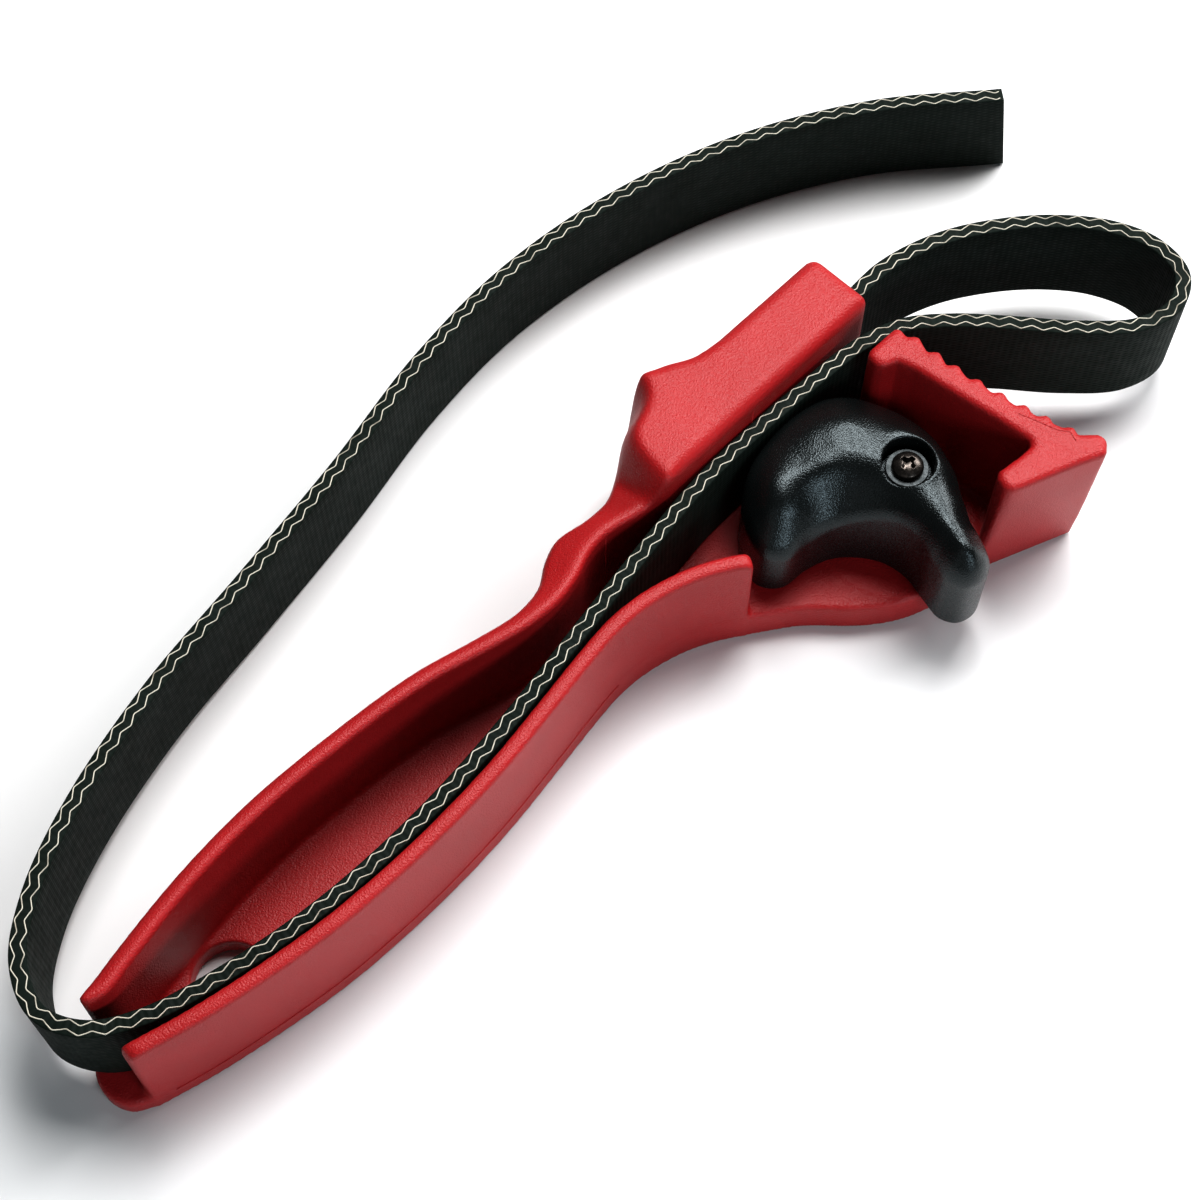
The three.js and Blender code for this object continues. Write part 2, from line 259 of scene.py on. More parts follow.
def ply_line(name, offset, height):
    """One woven cord showing at the belt's edge: a fine crimped strand half sunk in the rubber."""
    points, side, s = belt_frames(PLY_STATION)
    keep = slice(2, -2)
    points, side, s = points[keep], side[keep], s[keep]
    turn = 2 * np.pi * s / PLY_PITCH
    across = offset + PLY_WAVE * (np.sin(turn) - np.sin(3 * turn) / 9)
    middle = points + across[:, None] * side + np.array([0, 0, height])
    return bead(name, middle, PLY_RADIUS)


belt, belt_points, belt_length = belt_strip()
plies = [
    ply_line(f"belt_ply_{where}_{face}", offset, height)
    for where, height in (("top", BELT_WIDTH), ("bottom", PLY_BOTTOM_RISE))
    for face, offset in (("inner", -PLY_OFFSET), ("outer", PLY_OFFSET))
]


# ---- solids from signed distances ---------------------------------------------------------------------
class Block:
    """A box of sample points, in mm, on which solids are worked out as signed distances."""

    def __init__(self, low, high, step):
        self.low, self.step = np.array(low, float), step
        counts = [int(math.ceil((h - l) / step)) + 1 for l, h in zip(low, high)]
        axes = [l + step * np.arange(n) for l, n in zip(low, counts)]
        self.x, self.y, self.z = np.meshgrid(*axes, indexing="ij", sparse=True)
        self.shape = tuple(counts)

    def outline(self, points):
        """Distance in plan to a closed outline, negative inside it."""
        x, y = np.broadcast_arrays(self.x[:, :, 0], self.y[:, :, 0])
        points = np.array(points, float)
        nearest = np.full(x.shape, np.inf)
        inside = np.zeros(x.shape, bool)
        for (ax, ay), (bx, by) in zip(points, np.roll(points, -1, axis=0)):
            ex, ey = bx - ax, by - ay
            if ex == 0 and ey == 0:
                continue
            t = np.clip(((x - ax) * ex + (y - ay) * ey) / (ex * ex + ey * ey), 0, 1)
            nearest = np.minimum(nearest, (x - ax - t * ex) ** 2 + (y - ay - t * ey) ** 2)
            if ey:
                inside ^= ((ay > y) != (by > y)) & (x < ex * (y - ay) / ey + ax)
        return (np.where(inside, -1, 1) * np.sqrt(nearest))[:, :, None]

    def round_plan(self, x, y, radius):
        return np.hypot(self.x - x, self.y - y) - radius

    def mesh(self, name, distance):
        """The solid's skin as an object."""
        field = np.broadcast_to(distance, self.shape)
        limit = 4 * self.step
        grid = openvdb.FloatGrid(limit)
        grid.copyFromArray(np.ascontiguousarray(np.clip(field, -limit, limit)))
        points, faces = grid.convertToQuads(isovalue=0.0)
        return add_mesh(name, self.low + self.step * points, faces.tolist())


def slope_of(height, step):
    """How much steeper than level a height field is, to keep distances true on its slopes."""
    dx, dy = np.gradient(height[:, :, 0], step)
    return np.sqrt(1 + dx * dx + dy * dy)[:, :, None]


def softened(height, reach):
    """A height field averaged over a few samples each way."""
    width = max(int(round(reach)), 1)
    weights = np.hanning(2 * width + 3)[1:-1]
    weights /= weights.sum()
    out = height[:, :, 0]
    for axis in (0, 1):
        padded = np.pad(out, [(width, width) if a == axis else (0, 0) for a in (0, 1)], mode="edge")
        out = sum(w * np.take(padded, range(k, k + out.shape[axis]), axis) for k, w in enumerate(weights))
    return out[:, :, None]


def rounded_overlap(a, b, radius):
    """Overlap of two solids with the edge between them rounded."""
    both = np.maximum(a, b) + radius
    reach = np.hypot(np.maximum(a + radius, 0), np.maximum(b + radius, 0))
    return np.minimum(both, 0) + reach - radius


def blended_union(a, b, reach):
    """Union of two solids with a fillet where they meet."""
    h = np.maximum(reach - np.abs(a - b), 0) / reach
    return np.minimum(a, b) - h * h * reach / 4


def step_up(t):
    t = np.clip(t, 0, 1)
    return t * t * (3 - 2 * t)


def standing(block, plan, top, edge, bottom=0.0, foot=0.6):
    """Solid over a plan from the bottom up to a level or a height field, with rounded edges."""
    above = block.z - top
    if np.ndim(top) > 0:
        above = above / slope_of(top, block.step)
    return rounded_overlap(rounded_overlap(plan, above, edge), bottom - block.z, foot)


# ---- handle -------------------------------------------------------------------------------------------
LEFT_SIDE = smooth_path([
    (-176.0, 31.5), (-164, 34.2), (-148, 36.9), (-131, 38.2), (-112, 37.5), (-94, 35.6), (-81, 32.5),
    (-72.5, 31.0), (-66, 32.0), (-61, 35.3), (-56, 37.1), (-49.5, 35.8), (-44, 36.1), (-38, 39.3),
    (-30, 44.6), (-24.2, 47.4), (-18.5, 45.9), (-13, 43.2), (-7, 42.3),
], 5)
LEFT_CHANNEL = smooth_path([
    (-36, SLOT_FACE_Y), (-42, 28.5), (-50, 30.0), (-55, 29.4), (-60, 27.6), (-66, 26.5), (-73, 26.9),
    (-81, 28.6), (-94, 31.8), (-112, 33.7), (-131, 34.4), (-148, 33.1), (-164, 30.2), (-171, 28.9),
    (-174.2, 29.7),
], 5)
RIGHT_SIDE = smooth_path([
    (-175.5, 17.4), (-164, 14.3), (-150, 11.6), (-137, 9.8), (-124, 9.1), (-110, 9.2), (-95, 10.3),
    (-80, 12.4), (-70, 13.9), (-61.5, 14.8), (-54, 14.3), (-46, 12.2), (-40, 9.4), (-34.2, 5.6),
], 5)
PLATE_EDGE = smooth_path([
    (-34.2, 5.6), (-26, -0.3), (-18.5, -8), (-11.5, -13.0), (-4, -15.8), (5, -17.4),
], 5)
TAIL_LIP = smooth_path([(-176.0, 31.5), (-179.8, 29.0), (-181.2, 24.2), (-179.6, 19.9), (-175.5, 17.4)], 5)
NOSE_END = arc(NOSE_END_X - 2.4, 39.9, 2.4, 90, 0) + arc(NOSE_END_X - 1.8, SLOT_FACE_Y + 1.8, 1.8, 0, -90)
# Flat top of the nose block; the other three sides run past the block, so that only its tail end slopes.
NOSE_TOP = [
    (30, 20), (-35.2, 20), (-35.5, 28.5), (-35.2, 33.7), (-34.4, 37.2), (-32.7, 39.4), (-29.0, 40.9),
    (-25.8, 42.6), (-23.8, 45.4), (-22.0, 50), (30, 50),
]
WALL_EDGE, JAW_EDGE, FLOOR_EDGE = 1.3, 1.4, 1.1
CAM_LANDING_RADIUS, CAM_LANDING_RISE, CAM_LANDING_RUN = 16.3, 0.35, 0.8
LEFT_TOP_RISE, LEFT_TOP_FLAT, LEFT_TOP_FALL, LEFT_TOP_EASE = 0.8, 1.8, 0.5, 1.4
NOSE_SLOPE_START, NOSE_SLOPE_RUN = 0.4, 5.6
NOSE_EDGE_EXTRA, NOSE_EDGE_START, NOSE_EDGE_RUN = 1.4, 2, 6
LEFT_END_EDGE = 0.9
RIGHT_END_PLAN_ROUND, RIGHT_END_CORNER, RIGHT_END_EDGE = 1.2, 3.0, 0.8
UNDERSIDE_EDGE, OUTLINE_EDGE, FOOT_EDGE = 0.5, 0.3, 1.2
POCKET_RIM, HANG_HOLE_RIM, PIN_HOLE_RIM = 0.35, 0.4, 0.2
UNION_FILLET = 1.5
LEFT_WALL_END, TAIL_WALL_END = -174.9, -175.9
HEAD_WALL_END = ((-34.9, 6.1), (0.84, -0.55))
JAW_FACE = [(19.8, 15.4), (20.0, -1.2), (24.9, -18.2)]
TEETH, TOOTH = 8, [(-1.5, 1.5), (-0.3, 0.5), (0, -0.4), (-0.6, -1.7)]
JAW_FOOT = [(24.2, -26.8), (18.9, -24.3), (12.2, -21.8), (7.4, -20.1), (6.2, -19.2), (5.7, -17.6),
            (6.4, -15.4), (7.8, -14.4), (13, -15.1), (16.0, -15.2)]
FOOT_TOP_EDGE = ((7.4, -20.1), (24.2, -26.8))
FOOT_LEAN = 3.3
JAW_INNER = [(16.9, -14.2), (16.2, -7.4), (14.9, 1.4), (13.6, 11.0), (12.6, 14.4), (9.9, 15.6),
             (9.2, 17.0), (9.6, 19.2), (11.0, 20.0)]


def serrations():
    """Teeth along the jaw's hollow face: each rises over a short ramp and falls back over a longer one."""
    a, b, c = (np.array(p) for p in JAW_FACE)
    t = np.linspace(0, 1, 60)[:, None]
    peaks, _ = evenly(a * (1 - t) ** 2 + 2 * b * t * (1 - t) + c * t * t, 0.5)
    points = []
    for k in np.linspace(0, len(peaks) - 1, TEETH).round().astype(int):
        x, y = peaks[k]
        points += [(x + dx, y + dy) for dx, dy in TOOTH]
    return points


def handle():
    block = Block((-184, -30, -2), (30, 51, 39.5), 0.5)
    jaw_outer = arc(17.2, 18.3, 1.6, 90, 20) + serrations() + arc(25.2, -23.6, 2.0, 40, -60)
    footprint = block.outline([
        *LEFT_SIDE, *NOSE_END, *jaw_outer, *JAW_FOOT[:5], *PLATE_EDGE[::-1], *RIGHT_SIDE[-2::-1],
        *TAIL_LIP[-2:0:-1],
    ])
    ramp = np.clip((block.x - RAMP_FROM) / (RAMP_TO - RAMP_FROM), 0, 1)
    past_landing = block.round_plan(0, 0, CAM_LANDING_RADIUS) / CAM_LANDING_RUN
    landing = CAM_LANDING_RISE * step_up(0.5 - past_landing)
    floor_top = FLOOR_TAIL + (FLOOR_HEAD - FLOOR_TAIL) * ramp + landing
    body = standing(block, footprint, floor_top, FLOOR_EDGE)

    left_plan = block.outline([*LEFT_SIDE, *NOSE_END, *LEFT_CHANNEL])
    channel = block.outline([(40, -40), (40, SLOT_FACE_Y), *LEFT_CHANNEL, (-190, 29.7), (-190, -40)])
    wall_top = WALL_HEIGHT + LEFT_TOP_RISE - LEFT_TOP_FALL * np.clip(channel - LEFT_TOP_FLAT, 0, 20)
    nose = block.outline(smooth_path(NOSE_TOP + NOSE_TOP[:1], 4))
    from_nose = step_up((nose + NOSE_SLOPE_START) / NOSE_SLOPE_RUN)
    left_top = wall_top + (HEAD_HEIGHT - wall_top) * (1 - from_nose)
    left_top = softened(left_top, LEFT_TOP_EASE / block.step)
    top_edge = WALL_EDGE + NOSE_EDGE_EXTRA * step_up((NOSE_EDGE_START - nose) / NOSE_EDGE_RUN)
    left = standing(block, left_plan, left_top, top_edge)
    left = rounded_overlap(left, LEFT_WALL_END - block.x, LEFT_END_EDGE)

    longer = [(-181, 18.6), *RIGHT_SIDE, (-30, 3.0)]
    right_plan = block.outline([*longer, *offset_line(longer, WALL_THICK)[::-1]])
    (end_x, end_y), (end_dx, end_dy) = HEAD_WALL_END
    ends = np.maximum(
        TAIL_WALL_END - block.x, (block.x - end_x) * end_dx + (block.y - end_y) * end_dy,
    )
    right = standing(
        block, rounded_overlap(right_plan, ends, RIGHT_END_PLAN_ROUND), WALL_HEIGHT, WALL_EDGE,
    )
    corner = rounded_overlap(ends, block.z - WALL_HEIGHT, RIGHT_END_CORNER)
    right = rounded_overlap(right, corner, RIGHT_END_EDGE)

    jaw_plan = block.outline([*jaw_outer, *JAW_FOOT, *JAW_INNER])
    jaw = standing(block, jaw_plan, HEAD_HEIGHT, JAW_EDGE)

    for standing_part in (left, right, jaw):
        body = blended_union(body, standing_part, UNION_FILLET)
    body = rounded_overlap(body, -block.z, UNDERSIDE_EDGE)
    body = rounded_overlap(body, footprint, OUTLINE_EDGE)
    body = rounded_overlap(body, foot_draft(block), FOOT_EDGE)
    pocket = np.maximum(
        np.maximum(
            np.abs(block.y - POCKET_Y) - BELT_THICK / 2 - POCKET_PLAY,
            np.abs(block.z - POCKET_FLOOR_Z - BELT_WIDTH / 2) - BELT_WIDTH / 2 - POCKET_HEADROOM,
        ),
        POCKET_END_X - block.x,
    )
    body = rounded_overlap(body, -pocket, POCKET_RIM)
    body = rounded_overlap(body, -block.round_plan(*HANG_HOLE), HANG_HOLE_RIM)
    for x in PIN_XS:
        round_hole = np.hypot(block.x - x, block.z - PIN_Z) - PIN_RADIUS - PIN_HOLE_PLAY
        hole = np.maximum(round_hole, PIN_FROM - PIN_HOLE_PLAY - block.y)
        body = rounded_overlap(body, -hole, PIN_HOLE_RIM)
    screw_hole = np.maximum(
        block.round_plan(0, 0, SCREW_HOLE_RADIUS), SCREW_HOLE_BOTTOM - block.z,
    )
    body = np.maximum(body, -screw_hole)
    return block.mesh("handle_moulding", body)


def foot_draft(block):
    """The side of the jaw's foot leans in towards the bench."""
    (x0, y0), (x1, y1) = FOOT_TOP_EDGE
    along = math.hypot(x1 - x0, y1 - y0)
    outward = ((y1 - y0) / along, (x0 - x1) / along)
    lean = (HEAD_HEIGHT - block.z) * FOOT_LEAN / HEAD_HEIGHT
    beyond = (block.x - x0) * outward[0] + (block.y - y0) * outward[1] + lean
    return np.minimum(beyond, block.x - 2)


def offset_line(points, distance):
    along = np.gradient(points, axis=0)
    along /= np.linalg.norm(along, axis=1)[:, None]
    return points + distance * np.column_stack([-along[:, 1], along[:, 0]])


handle_moulding = handle()


# ---- cam lever ----------------------------------------------------------------------------------------
CAM_BOTTOM, CAM_TOP, CAM_EDGE, CAM_FOOT_EDGE = 8.6, 32.6, 1.5, 0.8
COUNTERBORE_RADIUS, COUNTERBORE_FLOOR, COUNTERBORE_RIM = 5.05, 27.9, 0.3
# How loosely the lever's top follows CAM_HEIGHTS; 0 would pass through every point.
PLATE_EASE = 4.0
CAM_OUTLINE = [
    (-29.3, 9.6), (-27.8, 14.8), (-24.4, 19.1), (-19.2, 22.2), (-12.5, 23.4), (-5.5, 23.4), (1, 21.9),
    (5.4, 18.6), (8.4, 13.6), (10.7, 7.4), (11.1, 1.2), (9.1, -4.4), (5.2, -10.6), (2.2, -15.2),
    (0.4, -19.6), (-1.7, -22.9), (-5.2, -24.2), (-8.6, -23.1), (-10.2, -20.0), (-9.4, -15.4),
    (-8.1, -10.0), (-8.6, -5.0), (-11.2, -0.4), (-15.2, 3.2), (-20.4, 5.0), (-26.4, 5.8),
]
# Heights of the lever's smooth top: round its edge, then over the crown, the thumb bay and the tab.
CAM_HEIGHTS = [
    (-29.3, 9.6, 23.0), (-27.8, 14.8, 23.8), (-24.4, 19.1, 25.2), (-19.2, 22.2, 27.2), (-12.5, 23.4, 28.4),
    (-5.5, 23.4, 28.8), (1, 21.9, 28.6), (5.4, 18.6, 28.1), (8.4, 13.6, 27.3), (10.7, 7.4, 26.0),
    (11.1, 1.2, 24.8), (9.1, -4.4, 24.5), (5.2, -10.6, 24.5), (2.2, -15.2, 24.6), (0.4, -19.6, 25.0),
    (-1.7, -22.9, 25.4), (-5.2, -24.2, 25.8), (-8.6, -23.1, 26.0), (-10.2, -20.0, 26.2), (-9.4, -15.4, 27.2),
    (-8.1, -10.0, 28.6), (-8.6, -5.0, 28.0), (-11.2, -0.4, 26.0), (-15.2, 3.2, 23.6), (-20.4, 5.0, 22.4),
    (-26.4, 5.8, 22.2), (-7.4, 17.6, 31.7), (-3.9, 16.9, 32.0), (-1.2, 14.1, 32.4), (-0.3, 10.5, 32.5),
    (-11, 16.4, 31.4), (-13.6, 14.6, 31.2), (-17.5, 11.6, 30.2), (-20.4, 8.8, 28.0), (-23.4, 7.4, 25.4),
    (-14.3, 12.2, 31.3), (-11, 10.5, 31.8), (-7.4, 8.6, 32.2), (-4.9, 5.4, 32.4), (-8.6, 13.4, 32.1),
    (6.0, 0, 32.0), (0, 6, 32.5), (4.2, 6.0, 32.3), (5.2, -4.0, 31.5), (-0.4, -6.0, 32.4),
    (-5.2, -2.6, 31.2), (-2.6, -9.9, 32.2), (-5.2, -14.3, 31.9), (-6.3, -18.8, 31.5), (-5.9, -21.6, 29.9),
    (1.2, -9.0, 31.2), (-2.2, -14.6, 30.9), (-3.8, -18.6, 30.6), (5.6, -6.4, 29.4), (2.0, -11.9, 29.0),
    (-0.8, -17.0, 28.9), (-5.8, -8.6, 31.1), (-7.6, -14.4, 29.8), (-8.6, -18.8, 28.8), (-14.0, 7.8, 28.4),
    (-18.4, 7.6, 26.6), (-10.2, 4.6, 29.0), (-7.6, 0.8, 29.8), (-24.6, 13.4, 28.2), (-20.6, 16.2, 30.2),
]


def draped(block, heights):
    """A thin plate bent to pass close to scattered points, as a height field."""
    x, y, z = np.array(heights, float).T

    def bend(dx, dy):
        square = dx * dx + dy * dy
        return square * np.log(square + 1e-9)

    count = len(x)
    level = np.column_stack([np.ones(count), x, y])
    system = np.zeros((count + 3, count + 3))
    system[:count, :count] = bend(x[:, None] - x, y[:, None] - y) + PLATE_EASE * np.eye(count)
    system[:count, count:], system[count:, :count] = level, level.T
    weights = np.linalg.solve(system, np.append(z, np.zeros(3)))
    plate = weights[count] + weights[count + 1] * block.x + weights[count + 2] * block.y
    for xi, yi, weight in zip(x, y, weights):
        plate = plate + weight * bend(block.x - xi, block.y - yi)
    return plate


def closed_path(points, per_span):
    """Smooth closed curve through the points."""
    around = points[-2:] + points + points[:3]
    return smooth_path(around, per_span)[2 * per_span:-2 * per_span]


def cam():
    block = Block((-31.5, -26.5, 7), (13.5, 26, 34.5), 0.34)
    plan = block.outline(closed_path(CAM_OUTLINE, 6))
    top = np.minimum(draped(block, CAM_HEIGHTS), CAM_TOP)
    body = standing(block, plan, top, CAM_EDGE, bottom=CAM_BOTTOM, foot=CAM_FOOT_EDGE)
    counterbore = np.maximum(
        block.round_plan(0, 0, COUNTERBORE_RADIUS), COUNTERBORE_FLOOR - block.z,
    )
    body = rounded_overlap(body, -counterbore, COUNTERBORE_RIM)
    body = np.maximum(body, -block.round_plan(0, 0, SLEEVE_RADIUS + SLEEVE_PLAY))
    return block.mesh("cam_moulding", body)


cam_moulding = cam()


# ---- moulding lines -----------------------------------------------------------------------------------
WITNESS_LINE = [(19.6, -9.3), (20.8, -12.9), (22.2, -17.2), (23.2, -18.4), (22.5, -20.6)]
WITNESS_Z, WITNESS_RADIUS = 36.9, 0.2
PARTING_FROM, PARTING_TO = (-172, 4.4), (-62, 6.0)
PARTING_RADIUS = 0.16


def witness_line():
    points, _ = evenly(smooth_path(WITNESS_LINE, 6), 0.4)
    middle = np.column_stack([points, np.full(len(points), WITNESS_Z)])
    return bead("jaw_witness_line", middle, WITNESS_RADIUS)


def parting_line():
    """The line where the mould halves met, low on the outside of the right wall."""
    points, _ = evenly(RIGHT_SIDE, 1.0)
    points = points[(points[:, 0] > PARTING_FROM[0]) & (points[:, 0] < PARTING_TO[0])]
    z = np.interp(points[:, 0], *zip(PARTING_FROM, PARTING_TO))
    return bead("handle_parting_line", np.column_stack([points, z]), PARTING_RADIUS)


witness, parting = witness_line(), parting_line()


# ---- screw, washer, pins ------------------------------------------------------------------------------
HEAD_RADIUS, HEAD_BOTTOM, HEAD_TOP, HEAD_DOME = 3.05, 29.9, 32.0, 1.15
HEAD_DOME_POWER, HEAD_EDGE = 2.6, 0.35
RECESS_BOTTOM = 30.5
# Half length and half width of the recess's arms and radius of its core, each at the top, and how fast it
# narrows with depth.
(ARM, ARM_TAPER), (HALF, HALF_TAPER), (CORE, CORE_TAPER) = (1.62, 0.35), (0.42, 0.06), (0.95, 0.25)


def screw_head():
    block = Block((-3.3, -3.3, 29.5), (3.3, 3.3, 32.4), 0.07)
    r = np.hypot(block.x, block.y)
    dome = block.z - (HEAD_TOP - HEAD_DOME * (r / HEAD_RADIUS) ** HEAD_DOME_POWER)
    body = rounded_overlap(rounded_overlap(r - HEAD_RADIUS, dome, HEAD_EDGE), HEAD_BOTTOM - block.z, 0.1)
    depth = HEAD_TOP - block.z
    arm = ARM - ARM_TAPER * depth
    half = HALF - HALF_TAPER * depth
    cross = np.minimum(
        np.maximum(np.abs(block.x) - arm, np.abs(block.y) - half),
        np.maximum(np.abs(block.y) - arm, np.abs(block.x) - half),
    )
    core = r - (CORE - CORE_TAPER * depth)
    recess = np.maximum(blended_union(cross, core, 0.3), RECESS_BOTTOM - block.z)
    return block.mesh("screw_head", rounded_overlap(body, -recess, 0.1))


SHANK_RADIUS, SHANK_TIP_RADIUS, SHANK_BOTTOM, SHANK_TIP, SHANK_TOP = 1.65, 0.5, 2.0, 2.0, 29.88


def screw_shank():
    profile = [
        (0.05, SHANK_BOTTOM), (SHANK_TIP_RADIUS, SHANK_BOTTOM), (SHANK_RADIUS, SHANK_BOTTOM + SHANK_TIP),
        (SHANK_RADIUS, SHANK_TOP), (0.05, SHANK_TOP),
    ]
    return add_mesh("screw_shank", *turned(profile, 32))


def washer():
    inner, outer, low, high, c = 2.1, 4.1, 28.6, 29.8, 0.12
    profile = [(inner, low + c), (inner + c, low), (outer - c, low), (outer, low + c),
               (outer, high - c), (outer - c, high), (inner + c, high), (inner, high - c)]
    obj = add_mesh("washer_ring", *turned(profile, 96))
    sharp_above(obj, 30)
    return obj


def anchor_pin(x, number):
    c = 0.25
    profile = [(0.02, 0), (PIN_RADIUS - c, 0), (PIN_RADIUS, c), (PIN_RADIUS, PIN_TO - PIN_FROM - c),
               (PIN_RADIUS - c, PIN_TO - PIN_FROM), (0.02, PIN_TO - PIN_FROM)]
    vertices, faces = turned(profile, 40)
    placed = [(x + vx, PIN_FROM + vz, PIN_Z + vy) for vx, vy, vz in vertices]
    obj = add_mesh(f"anchor_pin_{number}_dowel", placed, faces)
    sharp_above(obj, 30)
    return obj


head, shank, ring = screw_head(), screw_shank(), washer()
pins = [anchor_pin(x, i + 1) for i, x in enumerate(PIN_XS)]


# ---- materials ----------------------------------------------------------------------------------------
class Nodes:
    """Short names for making a material's nodes."""

    def __init__(self, name):
        self.material = bpy.data.materials.new(name)
        self.material.use_nodes = True
        self.tree = self.material.node_tree
        self.shader = self.tree.nodes["Principled BSDF"]

    def new(self, kind, **settings):
        node = self.tree.nodes.new(kind)
        for key, value in settings.items():
            setattr(node, key, value)
        return node

    def link(self, source, target):
        self.tree.links.new(source, target)

    def place(self):
        return self.new("ShaderNodeTexCoord").outputs["Object"]

    def noise(self, where, scale, detail=2.0):
        node = self.new("ShaderNodeTexNoise")
        node.inputs["Scale"].default_value = scale
        node.inputs["Detail"].default_value = detail
        self.link(where, node.inputs["Vector"])
        return node.outputs["Fac"]

    def ramp(self, fac, stops):
        node = self.new("ShaderNodeValToRGB")
        elements = node.color_ramp.elements
        while len(elements) < len(stops):
            elements.new(0.5)
        for element, (position, colour) in zip(elements, stops):
            element.position = position
            element.color = colour if len(colour) == 4 else (*colour, 1)
        self.link(fac, node.inputs["Fac"])
        return node.outputs["Color"]

    def bump(self, height, distance, strength=1.0, under=None):
        node = self.new("ShaderNodeBump")
        node.inputs["Strength"].default_value = strength
        node.inputs["Distance"].default_value = distance
        self.link(height, node.inputs["Height"])
        if under is not None:
            self.link(under, node.inputs["Normal"])
        return node.outputs["Normal"]

    def maths(self, operation, a, b=0.0):
        node = self.new("ShaderNodeMath", operation=operation)
        for socket, value in zip(node.inputs, (a, b)):
            if isinstance(value, (int, float)):
                socket.default_value = value
            else:
                self.link(value, socket)
        return node.outputs[0]

    def sine(self, value, period):
        return self.maths("SINE", self.maths("MULTIPLY", value, 2 * math.pi / period))

    def finish(self, colour=None, roughness=None, normal=None, **values):
        for key, value in values.items():
            self.shader.inputs[key].default_value = value
        for socket, source in (("Base Color", colour), ("Roughness", roughness), ("Normal", normal)):
            if source is not None:
                self.link(source, self.shader.inputs[socket])
        return self.material


def red_plastic():
    n = Nodes("red_moulded_plastic")
    where = n.place()
    colour = n.ramp(n.noise(where, 60, 3), [(0.3, (0.345, 0.009, 0.011)), (0.7, (0.40, 0.013, 0.016))])
    rough = n.ramp(n.noise(where, 5000, 1), [(0.3, (0.38,) * 3), (0.7, (0.46,) * 3)])
    grain = n.bump(n.noise(where, 2800), 0.00016)
    return n.finish(colour, rough, grain, **{"Specular IOR Level": 0.38})


def black_plastic():
    n = Nodes("black_moulded_plastic")
    where = n.place()
    colour = n.ramp(n.noise(where, 80, 3), [(0.3, (0.003, 0.004, 0.004)), (0.7, (0.006, 0.008, 0.008))])
    rough = n.ramp(n.noise(where, 4000, 1), [(0.3, (0.22,) * 3), (0.7, (0.30,) * 3)])
    grain = n.bump(n.noise(where, 3400, 1), 0.00009)
    gloss = {"Specular Tint": (0.84, 0.96, 1.0, 1), "Specular IOR Level": 0.42}
    return n.finish(colour, rough, grain, **gloss)


def belt_rubber():
    n = Nodes("belt_rubber")
    where = n.place()
    colour = n.ramp(n.noise(where, 150, 4), [(0.3, (0.004, 0.009, 0.006)), (0.7, (0.008, 0.014, 0.011))])
    rough = n.ramp(n.noise(where, 500, 3), [(0.3, (0.6,) * 3), (0.7, (0.75,) * 3)])
    uv = n.new("ShaderNodeUVMap", uv_map="along_and_up").outputs["UV"]
    split = n.new("ShaderNodeSeparateXYZ")
    n.link(uv, split.inputs[0])
    along, up = split.outputs["X"], split.outputs["Y"]
    ribs = n.sine(along, WEAVE_PITCH * MM)
    crossings = n.maths("MULTIPLY", n.sine(along, 2 * WEAVE_PITCH * MM), n.sine(up, WEAVE_RISE * MM))
    weave = n.maths("ADD", n.maths("MULTIPLY", ribs, 0.5), n.maths("MULTIPLY", crossings, 0.5))
    imprint = n.bump(weave, 0.00009, 0.8)
    grain = n.bump(n.noise(where, 2600, 2), 0.00004, 0.7, under=imprint)
    return n.finish(colour, rough, grain, **{"Specular IOR Level": 0.12})


def ply_cord():
    n = Nodes("ply_cord")
    where = n.place()
    colour = n.ramp(n.noise(where, 260, 3), [(0.30, (0.27, 0.24, 0.19)), (0.5, (0.62, 0.58, 0.49))])
    grain = n.bump(n.noise(where, 5000, 2), 0.00004, 0.8)
    return n.finish(colour, None, grain, Roughness=0.85)


def bare_steel():
    n = Nodes("bare_steel")
    where = n.place()
    colour = n.ramp(n.noise(where, 900, 3), [(0.3, (0.030, 0.034, 0.035)), (0.7, (0.055, 0.060, 0.062))])
    rough = n.ramp(n.noise(where, 2500, 3), [(0.3, (0.40,) * 3), (0.7, (0.52,) * 3)])
    grain = n.bump(n.noise(where, 6000, 2), 0.00001, 0.6)
    return n.finish(colour, rough, grain, Metallic=1.0)


def black_steel():
    n = Nodes("black_oxide_steel")
    where = n.place()
    colour = n.ramp(n.noise(where, 1200, 3), [(0.3, (0.035, 0.03, 0.027)), (0.75, (0.10, 0.085, 0.075))])
    rough = n.ramp(n.noise(where, 3000, 3), [(0.3, (0.22,) * 3), (0.7, (0.38,) * 3)])
    grain = n.bump(n.noise(where, 7000, 2), 0.00001, 0.6)
    return n.finish(colour, rough, grain, Metallic=0.9)


def paint(obj, material):
    obj.data.materials.clear()
    obj.data.materials.append(material)


RED, BLACK, RUBBER, CREAM, STEEL, OXIDE = (
    red_plastic(), black_plastic(), belt_rubber(), ply_cord(), bare_steel(), black_steel()
)
for part in (handle_moulding, witness, parting):
    paint(part, RED)
paint(cam_moulding, BLACK)
paint(belt, RUBBER)
for ply in plies:
    paint(ply, CREAM)
for part in (ring, *pins):
    paint(part, STEEL)
for part in (head, shank):
    paint(part, OXIDE)
for material_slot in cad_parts["pivot_sleeve"].material_slots:
    material_slot.material = STEEL


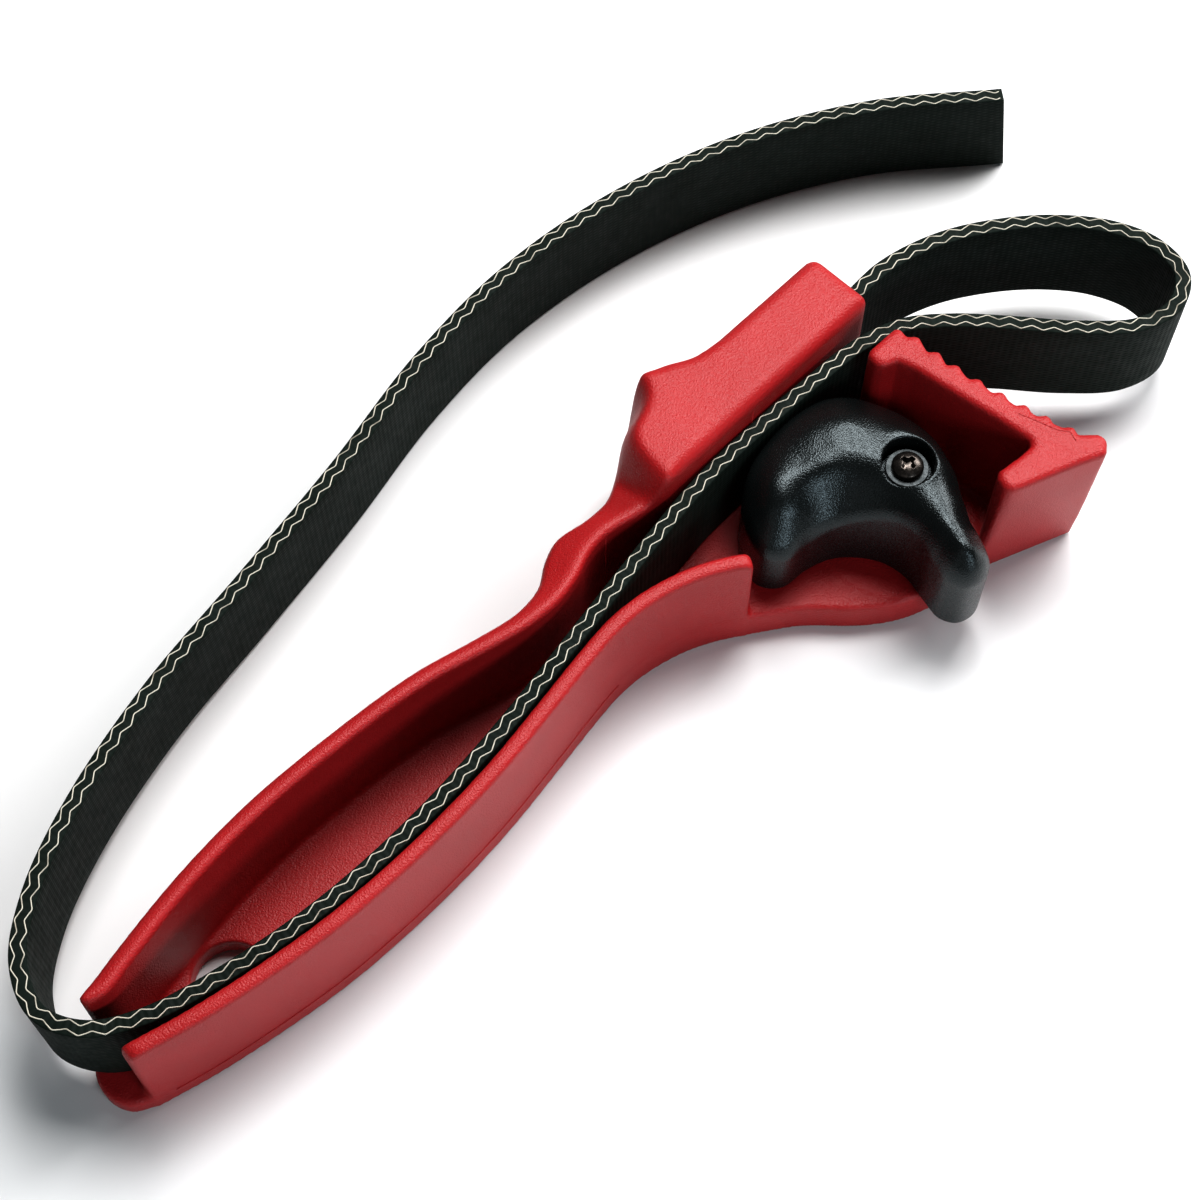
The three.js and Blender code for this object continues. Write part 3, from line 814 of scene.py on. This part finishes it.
# ---- each piece follows its body and hides the CAD parts it replaces ----------------------------------
for piece, body, slot, nodes in (
    (handle_moulding, "handle", "handle_plastic", ["handle_body"]),
    (witness, "handle", "handle_plastic", ["handle_body"]),
    (parting, "handle", "handle_plastic", ["handle_body"]),
    (cam_moulding, "cam", "cam_plastic", ["cam_lever"]),
    (belt, "handle", "belt_rubber", ["belt"]),
    (head, "handle", "black_steel", ["pivot_screw"]),
    (shank, "handle", "black_steel", ["pivot_screw"]),
    (ring, "handle", "steel", ["pivot_washer"]),
    (pins[0], "handle", "steel", ["belt_anchor_pin_1"]),
    (pins[1], "handle", "steel", ["belt_anchor_pin_2"]),
    *((ply, "handle", "belt_rubber", ["belt"]) for ply in plies),
):
    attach(piece, body)
    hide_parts(*nodes)


# ---- floor and lights ---------------------------------------------------------------------------------
def floor():
    size = 2.5
    mesh = bpy.data.meshes.new("floor")
    corners = [(-size, -size, 0), (size, -size, 0), (size, size, 0), (-size, size, 0)]
    mesh.from_pydata(corners, [], [(0, 1, 2, 3)])
    obj = bpy.data.objects.new("floor", mesh)
    bpy.context.collection.objects.link(obj)
    material = bpy.data.materials.new("floor_paper")
    material.use_nodes = True
    shader = material.node_tree.nodes["Principled BSDF"]
    shader.inputs["Base Color"].default_value = (0.76, 0.76, 0.76, 1)
    shader.inputs["Roughness"].default_value = 0.9
    mesh.materials.append(material)


def softbox(name, place, aim, size, watts, colour=(1, 1, 1)):
    data = bpy.data.lights.new(name, "AREA")
    data.shape = "RECTANGLE"
    data.size, data.size_y = size
    data.energy = watts
    data.color = colour
    obj = bpy.data.objects.new(name, data)
    obj.location = place
    obj.rotation_mode = "QUATERNION"
    obj.rotation_quaternion = (Vector(aim) - Vector(place)).to_track_quat("-Z", "Y")
    bpy.context.collection.objects.link(obj)


def world_light(strength):
    world = bpy.data.worlds.new("studio")
    world.use_nodes = True
    background = world.node_tree.nodes["Background"]
    background.inputs["Color"].default_value = (1, 1, 1, 1)
    background.inputs["Strength"].default_value = strength
    bpy.context.scene.world = world


floor()
# Name, place and aim in metres, size in metres, watts, and a tint for the front one.
for light in (
    ("overhead", (0.29, 0.20, 0.88), (-0.04, 0.02, 0), (0.44, 0.44), 9.8),
    ("right", (0.76, -0.06, 0.52), (-0.04, 0.02, 0), (0.44, 0.44), 6.3),
    ("front", (-0.22, -0.80, 0.44), (-0.01, 0.0, 0.02), (0.40, 0.26), 3.2, (0.82, 0.93, 1.0)),
    ("left", (-0.75, -0.30, 0.50), (-0.10, 0.02, 0), (0.50, 0.50), 0.4),
):
    softbox(*light)
world_light(0.04)
view = bpy.context.scene.view_settings
view.view_transform, view.exposure, view.gamma = "Standard", 0.25, 0.82
